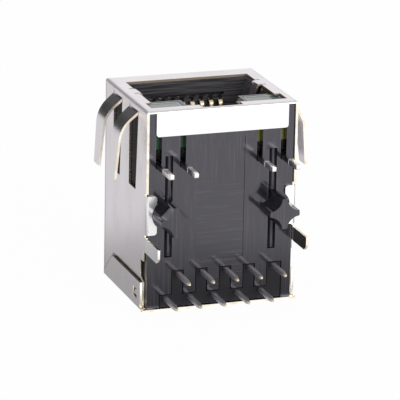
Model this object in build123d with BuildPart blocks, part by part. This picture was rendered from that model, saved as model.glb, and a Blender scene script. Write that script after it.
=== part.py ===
from build123d import *

import os
from math import sqrt

# Shielded board jack for an eight-contact network plug, with transformers and two lamps.
# All sizes are millimetres. The jack stands on its rear wall: Z runs out of the port,
# -Y is the side that lies on the circuit board and X runs across. The origin is the
# middle of the rear wall's outer face.

# Outside of the folded sheet, without its springs, tabs and rear wings.
body_width = 15.9
body_height = 13.6
body_depth = 20.9

# Sheet metal of the shield.
sheet = 0.25
bend_radius = 0.3
seam_gap = 0.06
relief_width = 0.25
relief_depth = 0.45

# Clearances between pieces.
fit_clearance = 0.03
slot_clearance = 0.05
pin_clearance = 0.01

# Port in the front wall: a wide opening with a wider foot for the two lamps.
port_width = 13.1
port_top_rim = 2.25
window_width = 14.3
window_rim = 1.17
window_height = 2.03

# Springs inside the port that touch the plug's own shield.
port_spring_width = 1.6
port_spring_height = 1.1
port_spring_reach = 0.7
port_spring_depth = 1.9
port_spring_knee = 0.3
port_spring_bend = 0.28

# Springs outside the body that touch the panel around the port.
spring_width = 2.7
spring_pitch = 5.2
spring_root = 0.45
spring_gap = 0.1
spring_knee = 0.35
spring_knee_bend = 0.5
spring_bulge = 1.87
spring_lift = 0.48
spring_shoulder = 1.9
spring_length = 7.25
spring_slot_length = 8.5
spring_near_taper = 0.35
spring_far_taper = 0.85
spring_slot_taper = 0.7
spring_bend = 3.0
top_spring_pitch = 6.4

# Flap that folds under the front edge on the board side.
flap_width = 13.9
flap_length = 2.68
flap_corner = 0.3

# Feet of the side walls: a folded flange round each post and a solder tab.
flange_reach = 1.15
flange_length = 4.05
flange_corner = 0.3
tab_width = 1.45
tab_length = 3.8
tab_place = 7.02
tab_taper = 0.5
tab_corner = 0.3
side_notch_end = 5.2
side_notch_depth = 1.65
side_notch_turn = 3.5
side_notch_slope = 0.05
side_notch_rise = 0.8
side_step_depth = 0.75

# Rear wall and the wings that wrap the side walls.
wing_height = 2.95
wing_foot = 0.8
wing_relief = 0.4
wing_top_drop = 3.65
wing_heel_drop = 0.8
wing_heel_height = 0.42
catch_width = 1.23
catch_height = 1.07
catch_place = -4.4
catch_level = 1.46
catch_clearance = 0.2
catch_bulge = 0.24

# Plug cavity of the housing.
cavity_width = 11.8
cavity_height = 6.86
cavity_rear = 8.02
cavity_inset = 0.15
mouth_depth = 1.45
latch_width = 6.1
latch_step = 1.94
key_width = 4.3
key_floor = 0.42
latch_depth = 8.5

# Lamps, one each side of the latch recess, and their leads.
lamp_width = 3.6
lamp_height = 2.75
lamp_length = 4.05
lamp_outer_gap = 0.05
lead_size = 0.5
lead_pitch = 2.54
lead_centre = 5.33
lead_setback = 1.42
lead_rise = 1.0
lead_bend = 0.35
lead_reach = 4.0
collar_size = 0.62
collar_length = 0.26
collar_place = 1.75
channel_setback = 1.62

# Locating posts: four-pointed stars, one each side.
post_pitch = 11.43
post_row = 10.1
post_radius = 1.57
post_waist = 0.95
post_tip_width = 0.55
post_length = 2.9
post_clearance = 0.02

# Board side of the housing.
groove_width = 0.8
groove_depth = 0.45
groove_centre = 5.5
groove_start = 5.55
groove_end = 16.1
panel_width = 5.0
panel_start = 5.0
panel_end = 17.6
panel_depth = 0.08

# Rear chamber of the housing, which holds the coils.
chamber_width = 13.8
chamber_roof = 0.72
chamber_floor = 0.55
wall_behind_plug = 0.8

# Signal pins, in two staggered rows, and the pin base.
pin_size = 0.42
pin_count = 5
pin_pitch = 2.54
pin_stagger = 1.27
pin_front_row = 3.8
pin_row_gap = 2.54
pin_reach = 3.57
pin_head = 0.35
pin_point = 0.8
pin_point_taper = 7.0
lead_tip = 0.12
base_height = 1.2
base_rear_gap = 0.03
key_gap = 0.09
key_sink = 0.05
slot_width = 1.3
slot_start = 4.12
slot_last_width = 1.62
tongue_end = 1.65

# Contacts and the carrier that holds them.
contact_count = 8
contact_pitch = 1.016
contact_width = 0.46
contact_thickness = 0.3
contact_level = 0.55
contact_setback = 2.22
contact_turn = 0.95
contact_bend = 0.42
contact_tip_drop = 2.5
contact_tip_gap = 0.73
contact_tail = 0.8
trench_setback = 1.4
trench_length = 0.36
comb_slot_width = 0.56
comb_slot_depth = 0.8
carrier_width = 9.2
carrier_drop = 3.5
carrier_depth = 1.52
carrier_comb = 1.4
carrier_comb_floor = 0.3

# Circuit board in the chamber, with its coils and chips.
board_thickness = 0.8
board_width = 13.2
board_roof_gap = 0.2
core_outer = 2.5
core_inner = 1.3
core_height = 1.3
wire_layer = 0.2
winding_gap = 0.7
winding_sides = 10
coil_rows = 2
coil_columns = 4
coil_column_pitch = 3.24
coil_row_pitch = 3.1
coil_gap = 0.03
coil_chip_gap = 0.05
chip_length = 1.6
chip_width = 0.8
chip_height = 0.45
chip_count = 4
chip_pitch = 2.0
chip_first = -5.3
chip_drop = 1.1
surge_length = 3.2
surge_width = 1.6
surge_height = 1.2
surge_place = 4.1

# Planes and places worked out from the sizes above.
side = body_width / 2
top = body_height / 2
board_plane = -body_height / 2
port_top = top - port_top_rim
window_foot = board_plane + window_rim
port_step = window_foot + window_height
inner_side = side - sheet - fit_clearance
inner_top = top - sheet - fit_clearance
housing_foot = board_plane + sheet + fit_clearance
housing_rear = sheet + fit_clearance
housing_front = body_depth - sheet - fit_clearance
cavity_top = port_top - cavity_inset
cavity_foot = cavity_top - cavity_height
key_foot = housing_foot + key_floor
mouth_width = port_width - 2 * slot_clearance
chamber_front = cavity_rear - wall_behind_plug
chamber_top = inner_top - chamber_roof
chamber_foot = housing_foot + chamber_floor
lamp_centre = window_width / 2 - lamp_outer_gap - lamp_width / 2
lamp_middle = window_foot + slot_clearance + lamp_height / 2
lamp_rear = housing_front - lamp_length
lead_row = lamp_rear - lead_setback
lead_level = window_foot + lead_rise
channel_front = housing_front - channel_setback
contact_row = cavity_top + contact_level
contact_front = housing_front - contact_setback
contact_tip = cavity_rear + contact_tip_gap
trench_front = housing_front - trench_setback
comb_front = trench_front - trench_length
carrier_rear = cavity_rear - carrier_depth
chip_level = contact_row - chip_drop
contact_places = [(i - (contact_count - 1) / 2) * contact_pitch for i in range(contact_count)]
front_pins = [(i - (pin_count - 1) / 2) * pin_pitch + pin_stagger / 2 for i in range(pin_count)]
rear_pins = [x - pin_stagger for x in front_pins]
pin_rear_row = pin_front_row - pin_row_gap
base_foot = chamber_foot
base_top = base_foot + base_height
board_front = carrier_rear
board_rear = board_front - board_thickness
wing_plane = side + fit_clearance

os.makedirs("parts", exist_ok=True)


def write(piece, label):
    """Label one finished piece and write it to its own file."""
    piece.part.label = label
    export_step(piece.part, f"parts/{label}.step")


def block(x, y, z, mode=Mode.ADD):
    """Extrude a rectangle between two heights; each argument is a (low, high) pair."""
    with BuildSketch(Plane.XY.offset(z[0])) as outline:
        with Locations(((x[0] + x[1]) / 2, (y[0] + y[1]) / 2)):
            Rectangle(x[1] - x[0], y[1] - y[0])
    extrude(outline.sketch, amount=z[1] - z[0], mode=mode)


def spring_slots(plane, middles, reach, both=False):
    """Cut the slots of one wall's outer springs, each narrower towards its foot."""
    with BuildSketch(plane) as slots:
        for middle in middles:
            with BuildLine():
                Polyline(
                    (middle - slot_half + spring_slot_taper, slot_foot),
                    (middle + slot_half, slot_foot),
                    (middle + slot_half, slot_end),
                    (middle - slot_half, slot_end),
                    close=True,
                )
            make_face()
    extrude(slots.sketch, amount=reach, both=both, mode=Mode.SUBTRACT)


def spring_sides(plane, middles, reach):
    """Cut the outer springs of one wall narrower towards their free ends."""
    knee = body_depth - spring_root - spring_knee
    low = spring_end - sheet
    half = spring_width / 2
    with BuildSketch(plane) as waste:
        for middle in middles:
            for sign, taper in ((-1, spring_near_taper), (1, spring_far_taper)):
                with BuildLine():
                    Polyline(
                        (middle + sign * half, knee),
                        (middle + sign * (half - taper), low),
                        (middle + sign * (half + spring_gap), low),
                        (middle + sign * (half + spring_gap), knee),
                        close=True,
                    )
                make_face()
    extrude(waste.sketch, amount=reach, mode=Mode.SUBTRACT)


def spring(plane, root, sign):
    """Trace one outer spring; root is the middle of its sheet and sign its outward side."""
    knee = body_depth - spring_root - spring_knee
    shoulder = body_depth - spring_root - spring_shoulder
    with BuildSketch(plane) as strip:
        with BuildLine() as path:
            FilletPolyline(
                (root, body_depth - spring_root),
                (root, knee),
                (root + sign * spring_bulge, shoulder),
                (root + sign * (spring_bulge + spring_lift), spring_end),
                radius=[spring_knee_bend, spring_bend],
            )
        trace(path.line, line_width=sheet)
    extrude(strip.sketch, amount=spring_width / 2, both=True)


# Shield: front wall, roof, side walls and rear wall folded from one sheet.
spring_end = body_depth - spring_root - spring_length
slot_end = body_depth - spring_root
slot_foot = slot_end - spring_slot_length
slot_half = spring_width / 2 + spring_gap
spring_places = [-spring_pitch / 2, spring_pitch / 2]
top_spring_places = [-top_spring_pitch / 2, top_spring_pitch / 2]
flange_start = post_row - flange_length / 2
flange_end = post_row + flange_length / 2
side_walls = ((-side, sheet - side), (side - sheet, side))
flap_gaps = ((sheet - side, -flap_width / 2), (flap_width / 2, side - sheet))
foot = (board_plane, board_plane + sheet)
front_wall = (body_depth - sheet, body_depth)

with BuildPart() as shield:
    # The box of the sheet, rounded where it folds away from the front wall.
    block((-side, side), (board_plane, top), (0, body_depth))
    fillet(shield.faces().sort_by(Axis.Z)[-1].edges(), radius=bend_radius)
    fillet(shield.faces().sort_by(Axis.Z)[0].edges().sort_by(Axis.Y)[-1], radius=bend_radius)
    inside = (sheet - side, side - sheet)
    block(inside, (board_plane + sheet, top - sheet), (sheet, body_depth - sheet), Mode.SUBTRACT)
    # The board side is open, but for a flap folded under the front edge.
    block(inside, foot, (sheet, body_depth - bend_radius), Mode.SUBTRACT)
    for gap in flap_gaps:
        block(gap, foot, (sheet, body_depth - sheet), Mode.SUBTRACT)
    with BuildSketch(Plane.XZ.offset(-board_plane - sheet)):
        with Locations((0, body_depth - (flap_length + bend_radius) / 2)):
            flap = Rectangle(flap_width, flap_length - bend_radius)
        fillet(flap.vertices().group_by(Axis.Y)[0], radius=flap_corner)
    extrude(amount=sheet)
    # The roof butts on the side walls, and both end just short of the rear wall.
    for wall in side_walls:
        block(wall, (top - sheet - seam_gap, top - sheet), (0, slot_end), Mode.SUBTRACT)
        block(wall, (board_plane, top - sheet), (0, sheet + seam_gap), Mode.SUBTRACT)
    # Port with its wider foot for the lamps.
    block((-port_width / 2, port_width / 2), (port_step, port_top), front_wall, Mode.SUBTRACT)
    block((-window_width / 2, window_width / 2), (window_foot, port_step), front_wall, Mode.SUBTRACT)
    key_sides = (-key_width / 2, key_width / 2)
    block(key_sides, (board_plane + sheet, window_foot), front_wall, Mode.SUBTRACT)
    # Relief cuts beside each spring inside the port.
    for x in (-port_width / 2, port_width / 2):
        for y in (-1, 1):
            middle = port_spring_height + y * (port_spring_width + relief_width) / 2
            cut = (middle - relief_width / 2, middle + relief_width / 2)
            block((x - relief_depth, x + relief_depth), cut, front_wall, Mode.SUBTRACT)
    # Slots that the outer springs are cut from.
    spring_slots(Plane.YZ, spring_places, side, both=True)
    spring_slots(Plane.XZ, top_spring_places, -top)
    # The foot of each side wall is cut back in two steps from the solder tab to the rear.
    tab_foot = tab_place - tab_width / 2
    with BuildSketch(Plane.YZ):
        with BuildLine():
            Polyline(
                (board_plane, sheet),
                (board_plane + side_notch_rise, sheet),
                (board_plane + side_notch_rise, wing_height),
                (board_plane + side_notch_depth - side_notch_slope, side_notch_turn),
                (board_plane + side_notch_depth, side_notch_end),
                (board_plane + side_step_depth, side_notch_end),
                (board_plane + side_step_depth, tab_foot),
                (board_plane, tab_foot),
                close=True,
            )
        make_face()
    extrude(amount=side, both=True, mode=Mode.SUBTRACT)
    # Relief cuts at both ends of each flange.
    for z in (flange_start - relief_width, flange_end):
        for wall in side_walls:
            block(wall, (board_plane, board_plane + relief_depth), (z, z + relief_width), Mode.SUBTRACT)
    # Flanges that fold inwards round the posts.
    with BuildSketch(Plane.XZ.offset(-board_plane - sheet)):
        for x, free_end in ((-1, -1), (1, 0)):
            with Locations((x * (side - flange_reach / 2), post_row)):
                flange = Rectangle(flange_reach, flange_length)
            fillet(flange.vertices().group_by(Axis.X)[free_end], radius=flange_corner)
        with Locations((-post_pitch / 2, post_row), (post_pitch / 2, post_row)):
            Circle(post_radius + post_clearance, mode=Mode.SUBTRACT)
    extrude(amount=sheet)
    lengthwise = shield.edges().filter_by(Axis.Z)
    along_flange = lengthwise.filter_by_position(Axis.Z, flange_start, flange_end)
    lowest = along_flange.group_by(Axis.Y)[0].sort_by(Axis.X)
    fillet([lowest[0], lowest[-1]], radius=bend_radius)
    # Solder tabs, one under each side wall.
    for wall in side_walls:
        with BuildSketch(Plane.YZ.offset(wall[0])):
            with Locations((board_plane - tab_length / 2, tab_place)):
                tab = Rectangle(tab_length, tab_width)
            tips = tab.vertices().group_by(Axis.Y)[0].sort_by(Axis.Z)
            chamfer(tips[0], length=tab_taper)
            fillet(tips[-1], radius=tab_corner)
        extrude(amount=sheet)
    # Outer springs on both side walls and on the roof.
    for y in spring_places:
        spring(Plane.XZ.offset(-y), side - sheet / 2, 1)
        spring(Plane.XZ.offset(-y), sheet / 2 - side, -1)
    for x in top_spring_places:
        spring(Plane.YZ.offset(x), top - sheet / 2, 1)
    spring_reach = spring_bulge + spring_lift + sheet
    spring_sides(Plane.YZ.offset(side), spring_places, spring_reach)
    spring_sides(Plane.YZ.offset(-side), spring_places, -spring_reach)
    spring_sides(Plane.XZ.offset(-top), top_spring_places, -spring_reach)
    # Springs that fold back into the port from its side edges.
    for x in (-1, 1):
        with BuildSketch(Plane.XZ.offset(-port_spring_height)):
            with BuildLine() as fold:
                FilletPolyline(
                    (x * port_width / 2, body_depth - sheet / 2),
                    (x * (port_width / 2 - port_spring_knee), body_depth - sheet / 2),
                    (x * (port_width / 2 - port_spring_reach), body_depth - port_spring_depth),
                    radius=port_spring_bend,
                )
            trace(fold.line, line_width=sheet)
        extrude(amount=port_spring_width / 2, both=True)
    # Wings of the rear wall, folded up outside the side walls, with their catch windows.
    for x in (-1, 1):
        with BuildSketch(Plane.XZ.offset(-board_plane - wing_foot)):
            with BuildLine():
                Polyline(
                    (x * (side - sheet), 0),
                    (x * (wing_plane + sheet), 0),
                    (x * (wing_plane + sheet), wing_height),
                    (x * wing_plane, wing_height),
                    (x * wing_plane, sheet),
                    (x * (side - sheet), sheet),
                    close=True,
                )
            make_face()
        extrude(amount=wing_foot + wing_heel_drop - body_height)
        with BuildSketch(Plane.YZ.offset(x * (side + fit_clearance / 2))):
            with BuildLine():
                Polyline(
                    (top - wing_heel_drop, wing_heel_height),
                    (top, wing_heel_height),
                    (top, wing_height),
                    (top - wing_top_drop, wing_height),
                    close=True,
                )
            make_face()
            with Locations((catch_place, catch_level)):
                Rectangle(catch_width, catch_height)
        extrude(amount=x * 2 * sheet, mode=Mode.SUBTRACT)
    wing_folds = shield.edges().filter_by(Axis.Y).filter_by_position(Axis.Z, 0, 0)
    fillet([fold for fold in wing_folds if abs(fold.center().X) > wing_plane], radius=bend_radius)
    # Below the wings the rear wall is as wide as they are.
    rear_half = wing_plane + sheet
    strip_top = board_plane + wing_foot - wing_relief
    block((-rear_half, rear_half), (board_plane, strip_top), (0, sheet))
    # Catches pressed out of the side walls into those windows.
    catch_half = catch_height / 2 - catch_clearance
    for x in (-1, 1):
        with BuildSketch(Plane.XZ.offset(-catch_place)):
            with BuildLine():
                Polyline(
                    (x * (side - sheet), catch_level - catch_half),
                    (x * side, catch_level - catch_half),
                    (x * (side + catch_bulge), catch_level - catch_half / 2),
                    (x * side, catch_level + catch_half),
                    (x * (side - sheet), catch_level + catch_half),
                    close=True,
                )
            make_face()
        extrude(amount=catch_width / 2 - catch_clearance, both=True)

write(shield, "shield")


# Housing: one moulding that holds everything else inside the shield.
mouth_foot = housing_front - mouth_depth
cavity_middle = (cavity_top + cavity_foot) / 2
latch_foot = cavity_foot - latch_step
cavity_span = (cavity_rear, housing_front)
latch_span = (housing_front - latch_depth, housing_front)
lamp_half = lamp_width / 2 + slot_clearance
lamp_top = lamp_middle + lamp_height / 2 + slot_clearance
lamp_foot = lamp_middle - lamp_height / 2 - slot_clearance
lead_places = [sign * (lead_centre + step * lead_pitch / 2) for sign in (-1, 1) for step in (-1, 1)]
channel_half = lead_size / 2 + slot_clearance
channel_rear = lead_row - channel_half
window_half = carrier_width / 2 + fit_clearance
carrier_top = contact_row + contact_thickness / 2 + chamber_floor
carrier_foot = cavity_top - carrier_drop

with BuildPart() as housing:
    block((-inner_side, inner_side), (housing_foot, inner_top), (housing_rear, housing_front))
    # Plug cavity with a mouth that narrows to it, and the recess for the plug's latch.
    cavity_sides = (-cavity_width / 2, cavity_width / 2)
    block(cavity_sides, (cavity_foot, cavity_top), cavity_span, Mode.SUBTRACT)
    for z, width in ((mouth_foot, cavity_width), (housing_front, mouth_width)):
        with BuildSketch(Plane.XY.offset(z)):
            with Locations((0, cavity_middle)):
                Rectangle(width, cavity_height)
    loft(mode=Mode.SUBTRACT)
    latch_sides = (-latch_width / 2, latch_width / 2)
    block(latch_sides, (latch_foot, cavity_foot), latch_span, Mode.SUBTRACT)
    block(key_sides, (key_foot, latch_foot), latch_span, Mode.SUBTRACT)
    # Pockets behind the springs inside the port.
    half = port_spring_width / 2 + relief_width
    for x in (-1, 1):
        span = sorted((x * (cavity_width / 2 - relief_depth), x * port_width / 2))
        block(
            span,
            (port_spring_height - half, port_spring_height + half),
            (body_depth - port_spring_depth - relief_depth, housing_front),
            Mode.SUBTRACT,
        )
    # Pockets for the lamps, and the channels that their leads drop through.
    for x in (-lamp_centre, lamp_centre):
        pocket = (x - lamp_half, x + lamp_half)
        block(pocket, (lamp_foot, lamp_top), (lamp_rear, housing_front), Mode.SUBTRACT)
    for x in lead_places:
        channel = (x - channel_half, x + channel_half)
        channel_top = lead_level + channel_half
        block(channel, (housing_foot, lamp_foot), (channel_rear, channel_front), Mode.SUBTRACT)
        block(channel, (housing_foot, channel_top), (channel_rear, lamp_rear), Mode.SUBTRACT)
    # Long grooves and the sunk middle panel on the board side.
    groove_axis = housing_foot + groove_depth - groove_width / 2
    with BuildSketch(Plane.XY.offset(groove_start)):
        with Locations((-groove_centre, groove_axis), (groove_centre, groove_axis)):
            Circle(groove_width / 2)
        with Locations((-groove_centre, housing_foot), (groove_centre, housing_foot)):
            Rectangle(groove_width, 2 * (groove_axis - housing_foot))
    extrude(amount=groove_end - groove_start, mode=Mode.SUBTRACT)
    block(
        (-panel_width / 2, panel_width / 2),
        (housing_foot, housing_foot + panel_depth),
        (panel_start, panel_end),
        Mode.SUBTRACT,
    )
    # Chamber for the coils, open to the rear, and the window for the contact carrier.
    block(
        (-chamber_width / 2, chamber_width / 2),
        (chamber_foot, chamber_top),
        (housing_rear, chamber_front),
        Mode.SUBTRACT,
    )
    block(
        (-window_half, window_half),
        (carrier_foot - fit_clearance, carrier_top + fit_clearance),
        (chamber_front, cavity_rear),
        Mode.SUBTRACT,
    )
    # Slots over the pin base round each front pin, and the open edge round the rear pins.
    foot_skin = (housing_foot, chamber_foot)
    slot_low = [x - slot_width / 2 for x in front_pins]
    slot_high = [x + slot_width / 2 for x in front_pins[:-1]] + [slot_low[-1] + slot_last_width]
    for span in zip(slot_low, slot_high):
        block(span, foot_skin, (housing_rear, slot_start), Mode.SUBTRACT)
    open_edge = (rear_pins[0] - slot_width / 2, slot_high[-1])
    block(open_edge, foot_skin, (housing_rear, tongue_end), Mode.SUBTRACT)
    # Trench across the roof of the plug cavity, and a comb of slots, one for each contact.
    trench_half = contact_count * contact_pitch / 2
    roof_skin = (cavity_top, cavity_top + comb_slot_depth)
    block((-trench_half, trench_half), roof_skin, (comb_front, trench_front), Mode.SUBTRACT)
    for x in contact_places:
        block(
            (x - comb_slot_width / 2, x + comb_slot_width / 2),
            roof_skin,
            (cavity_rear, comb_front),
            Mode.SUBTRACT,
        )
    # Star posts that locate the jack on its circuit board: a disc with four round flutes,
    # each of which passes the waist and the corners of two tips.
    tip = post_tip_width / 2
    flute_place = (post_radius**2 + tip**2 - post_waist**2) / (
        sqrt(2) * (post_radius + tip - sqrt(2) * post_waist)
    )
    with BuildSketch(Plane.XZ.offset(-housing_foot - groove_depth)):
        for x in (-post_pitch / 2, post_pitch / 2):
            with Locations((x, post_row)):
                Circle(post_radius)
                with PolarLocations(flute_place, 4, start_angle=45):
                    Circle(flute_place - post_waist, mode=Mode.SUBTRACT)
    extrude(amount=groove_depth + housing_foot - board_plane + post_length)

write(housing, "housing")


# Lamps: a clear block at the port with two leads that drop to the board.
for sign, name in ((-1, "left"), (1, "right")):
    with BuildPart() as lamp:
        block(
            (sign * lamp_centre - lamp_width / 2, sign * lamp_centre + lamp_width / 2),
            (lamp_middle - lamp_height / 2, lamp_middle + lamp_height / 2),
            (lamp_rear + fit_clearance, housing_front),
        )
    write(lamp, f"lamp_{name}")

lead_end = board_plane - lead_reach
collar_middle = board_plane - collar_place
for index, x in enumerate(lead_places, 1):
    with BuildPart() as lead:
        with BuildSketch(Plane.YZ.offset(x)):
            with BuildLine() as run:
                FilletPolyline(
                    (lead_level, lamp_rear + fit_clearance),
                    (lead_level, lead_row),
                    (lead_end, lead_row),
                    radius=lead_bend,
                )
            trace(run.line, line_width=lead_size)
        extrude(amount=lead_size / 2, both=True)
        chamfer(lead.faces().sort_by(Axis.Y)[0].edges(), length=lead_tip)
        # Stub that is left where the leads were cut from their strip.
        half = collar_size / 2
        collar = (collar_middle - collar_length / 2, collar_middle + collar_length / 2)
        block((x - half, x + half), collar, (lead_row - half, lead_row + half))
    write(lead, f"lamp_lead_{index}")


# Pin base: closes the foot of the chamber and holds the signal pins.
base_rear = housing_rear + base_rear_gap
base_side = chamber_width / 2 - fit_clearance
pin_sites = [(x, pin_front_row) for x in front_pins] + [(x, pin_rear_row) for x in rear_pins]
pin_hole = pin_size + 2 * pin_clearance

with BuildPart() as pin_base:
    block((-base_side, base_side), (base_foot, base_top), (base_rear, chamber_front - fit_clearance))
    # Keys that fill the slots of the housing and its open edge.
    key_skin = (housing_foot + key_sink, base_foot)
    for low, high in zip(slot_low, slot_high):
        block((low + key_gap, high - key_gap), key_skin, (base_rear, slot_start - key_gap))
    key_edge = (open_edge[0] + key_gap, open_edge[1] - key_gap)
    block(key_edge, key_skin, (base_rear, tongue_end - key_gap))
    with BuildSketch(Plane.XZ.offset(-key_skin[0])):
        with Locations(pin_sites):
            Rectangle(pin_hole, pin_hole)
    extrude(amount=key_skin[0] - base_top, mode=Mode.SUBTRACT)

write(pin_base, "pin_base")

for index, (x, z) in enumerate(pin_sites, 1):
    with BuildPart() as pin:
        with BuildSketch(Plane.XZ.offset(-base_top - pin_head)):
            with Locations((x, z)):
                Rectangle(pin_size, pin_size)
        extrude(amount=base_top + pin_head - board_plane + pin_reach - pin_point)
        extrude(pin.faces().sort_by(Axis.Y)[0], amount=pin_point, taper=pin_point_taper)
    write(pin, f"signal_pin_{index}")


# Contact carrier: a moulded block with a comb that guides the contacts' free ends.
comb_reach = cavity_rear + carrier_comb

carrier_span = (-carrier_width / 2, carrier_width / 2)
hole_width = contact_width + 2 * pin_clearance
hole_height = contact_thickness + 2 * pin_clearance

with BuildPart() as contact_carrier:
    block(carrier_span, (carrier_foot, carrier_top), (carrier_rear, cavity_rear))
    block(carrier_span, (carrier_foot, cavity_top - fit_clearance), (cavity_rear, comb_reach))
    for x in contact_places:
        block(
            (x - comb_slot_width / 2, x + comb_slot_width / 2),
            (carrier_foot + carrier_comb_floor, cavity_top),
            (cavity_rear, comb_reach),
            Mode.SUBTRACT,
        )
    with BuildSketch(Plane.XY.offset(carrier_rear)):
        with Locations([(x, contact_row) for x in contact_places]):
            Rectangle(hole_width, hole_height)
    extrude(amount=cavity_rear - carrier_rear, mode=Mode.SUBTRACT)

write(contact_carrier, "contact_carrier")

for index, x in enumerate(contact_places, 1):
    with BuildPart() as contact:
        with BuildSketch(Plane.YZ.offset(x)):
            with BuildLine() as wire:
                FilletPolyline(
                    (contact_row, board_rear - contact_tail),
                    (contact_row, contact_front),
                    (contact_row - contact_turn, contact_front),
                    (cavity_top - contact_tip_drop, contact_tip),
                    radius=contact_bend,
                )
            trace(wire.line, line_width=contact_thickness)
        extrude(amount=contact_width / 2, both=True)
    write(contact, f"contact_{index}")


# Circuit board in the chamber, standing on the pin base behind the carrier.
board_foot = base_top + fit_clearance
board_top = chamber_top - board_roof_gap

with BuildPart() as circuit_board:
    block(
        (-board_width / 2, board_width / 2),
        (board_foot, board_top),
        (board_rear, board_front - fit_clearance),
    )
    with BuildSketch(Plane.XY.offset(board_rear)):
        with Locations([(x, contact_row) for x in contact_places]):
            Rectangle(contact_width + 2 * slot_clearance, contact_thickness + 2 * slot_clearance)
    extrude(amount=board_thickness, mode=Mode.SUBTRACT)

write(circuit_board, "circuit_board")


# Coils: ring cores with two windings each, stuck to the rear of the circuit board.
coil_front = board_rear - coil_gap
coil_radius = core_outer / 2 + wire_layer
coil_top_row = chip_level - surge_width / 2 - coil_chip_gap - coil_radius
coil_sites = [
    ((column - (coil_columns - 1) / 2) * coil_column_pitch, coil_top_row - row * coil_row_pitch)
    for row in range(coil_rows)
    for column in range(coil_columns)
]

for index, site in enumerate(coil_sites, 1):
    with BuildPart() as core:
        with BuildSketch(Plane.XY.offset(coil_front - wire_layer - core_height)):
            with Locations(site):
                Circle(core_outer / 2)
                Circle(core_inner / 2, mode=Mode.SUBTRACT)
        extrude(amount=core_height)
    write(core, f"coil_core_{index}")
    with BuildPart() as winding:
        with BuildSketch(Plane.XY.offset(coil_front - 2 * wire_layer - core_height)):
            with Locations(site):
                RegularPolygon(coil_radius, winding_sides, major_radius=False)
                RegularPolygon(core_inner / 2 - wire_layer, winding_sides, mode=Mode.SUBTRACT)
                Rectangle(winding_gap, 2 * core_outer, mode=Mode.SUBTRACT)
        extrude(amount=core_height + 2 * wire_layer)
        with BuildSketch(Plane.XY.offset(coil_front - wire_layer - core_height)):
            with Locations(site):
                RegularPolygon(core_outer / 2, winding_sides, major_radius=False)
                RegularPolygon(core_inner / 2, winding_sides, mode=Mode.SUBTRACT)
        extrude(amount=core_height, mode=Mode.SUBTRACT)
    write(winding, f"coil_winding_{index}")


# Chips on the same face: four small resistors and one larger capacitor.
for index in range(chip_count):
    x = chip_first + index * chip_pitch
    with BuildPart() as chip:
        block(
            (x - chip_length / 2, x + chip_length / 2),
            (chip_level - chip_width / 2, chip_level + chip_width / 2),
            (board_rear - chip_height, board_rear),
        )
    write(chip, f"resistor_{index + 1}")

with BuildPart() as surge_capacitor:
    block(
        (surge_place - surge_length / 2, surge_place + surge_length / 2),
        (chip_level - surge_width / 2, chip_level + surge_width / 2),
        (board_rear - surge_height, board_rear),
    )
write(surge_capacitor, "surge_capacitor")
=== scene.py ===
"""Looks of a shielded board jack: its finishes, fine pieces, floor, light and camera.

Every length and place is in metres. A span holds two limits of one value, and what it
stands for comes in from the first to the second. A band has a span at each of its edges.
"""

import logging
import math
from collections.abc import Callable, Mapping, Sequence
from dataclasses import dataclass, field
from enum import Enum

import bmesh
import bpy
from mathutils import Matrix, Vector
from mathutils.bvhtree import BVHTree
from mathutils.geometry import area_tri


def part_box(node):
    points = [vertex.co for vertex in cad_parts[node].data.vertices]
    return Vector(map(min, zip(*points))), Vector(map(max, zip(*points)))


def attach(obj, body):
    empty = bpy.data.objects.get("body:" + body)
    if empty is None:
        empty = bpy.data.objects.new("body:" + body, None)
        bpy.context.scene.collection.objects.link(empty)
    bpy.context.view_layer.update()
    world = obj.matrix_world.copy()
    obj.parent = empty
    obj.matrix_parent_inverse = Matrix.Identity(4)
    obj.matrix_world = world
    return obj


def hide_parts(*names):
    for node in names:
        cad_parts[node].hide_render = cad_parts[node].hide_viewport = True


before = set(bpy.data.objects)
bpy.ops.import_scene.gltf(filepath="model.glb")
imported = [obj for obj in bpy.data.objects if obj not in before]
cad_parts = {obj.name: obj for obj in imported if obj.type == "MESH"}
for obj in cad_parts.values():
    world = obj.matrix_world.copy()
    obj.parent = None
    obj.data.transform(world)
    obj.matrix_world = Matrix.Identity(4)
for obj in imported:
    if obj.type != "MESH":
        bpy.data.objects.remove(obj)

log = logging.getLogger("board_jack")

BODY = "root"
WHITE = (1.0, 1.0, 1.0, 1.0)

Colour = tuple[float, float, float]
Point = tuple[float, float, float]
Span = tuple[float, float]
Band = tuple[Span, Span]


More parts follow.
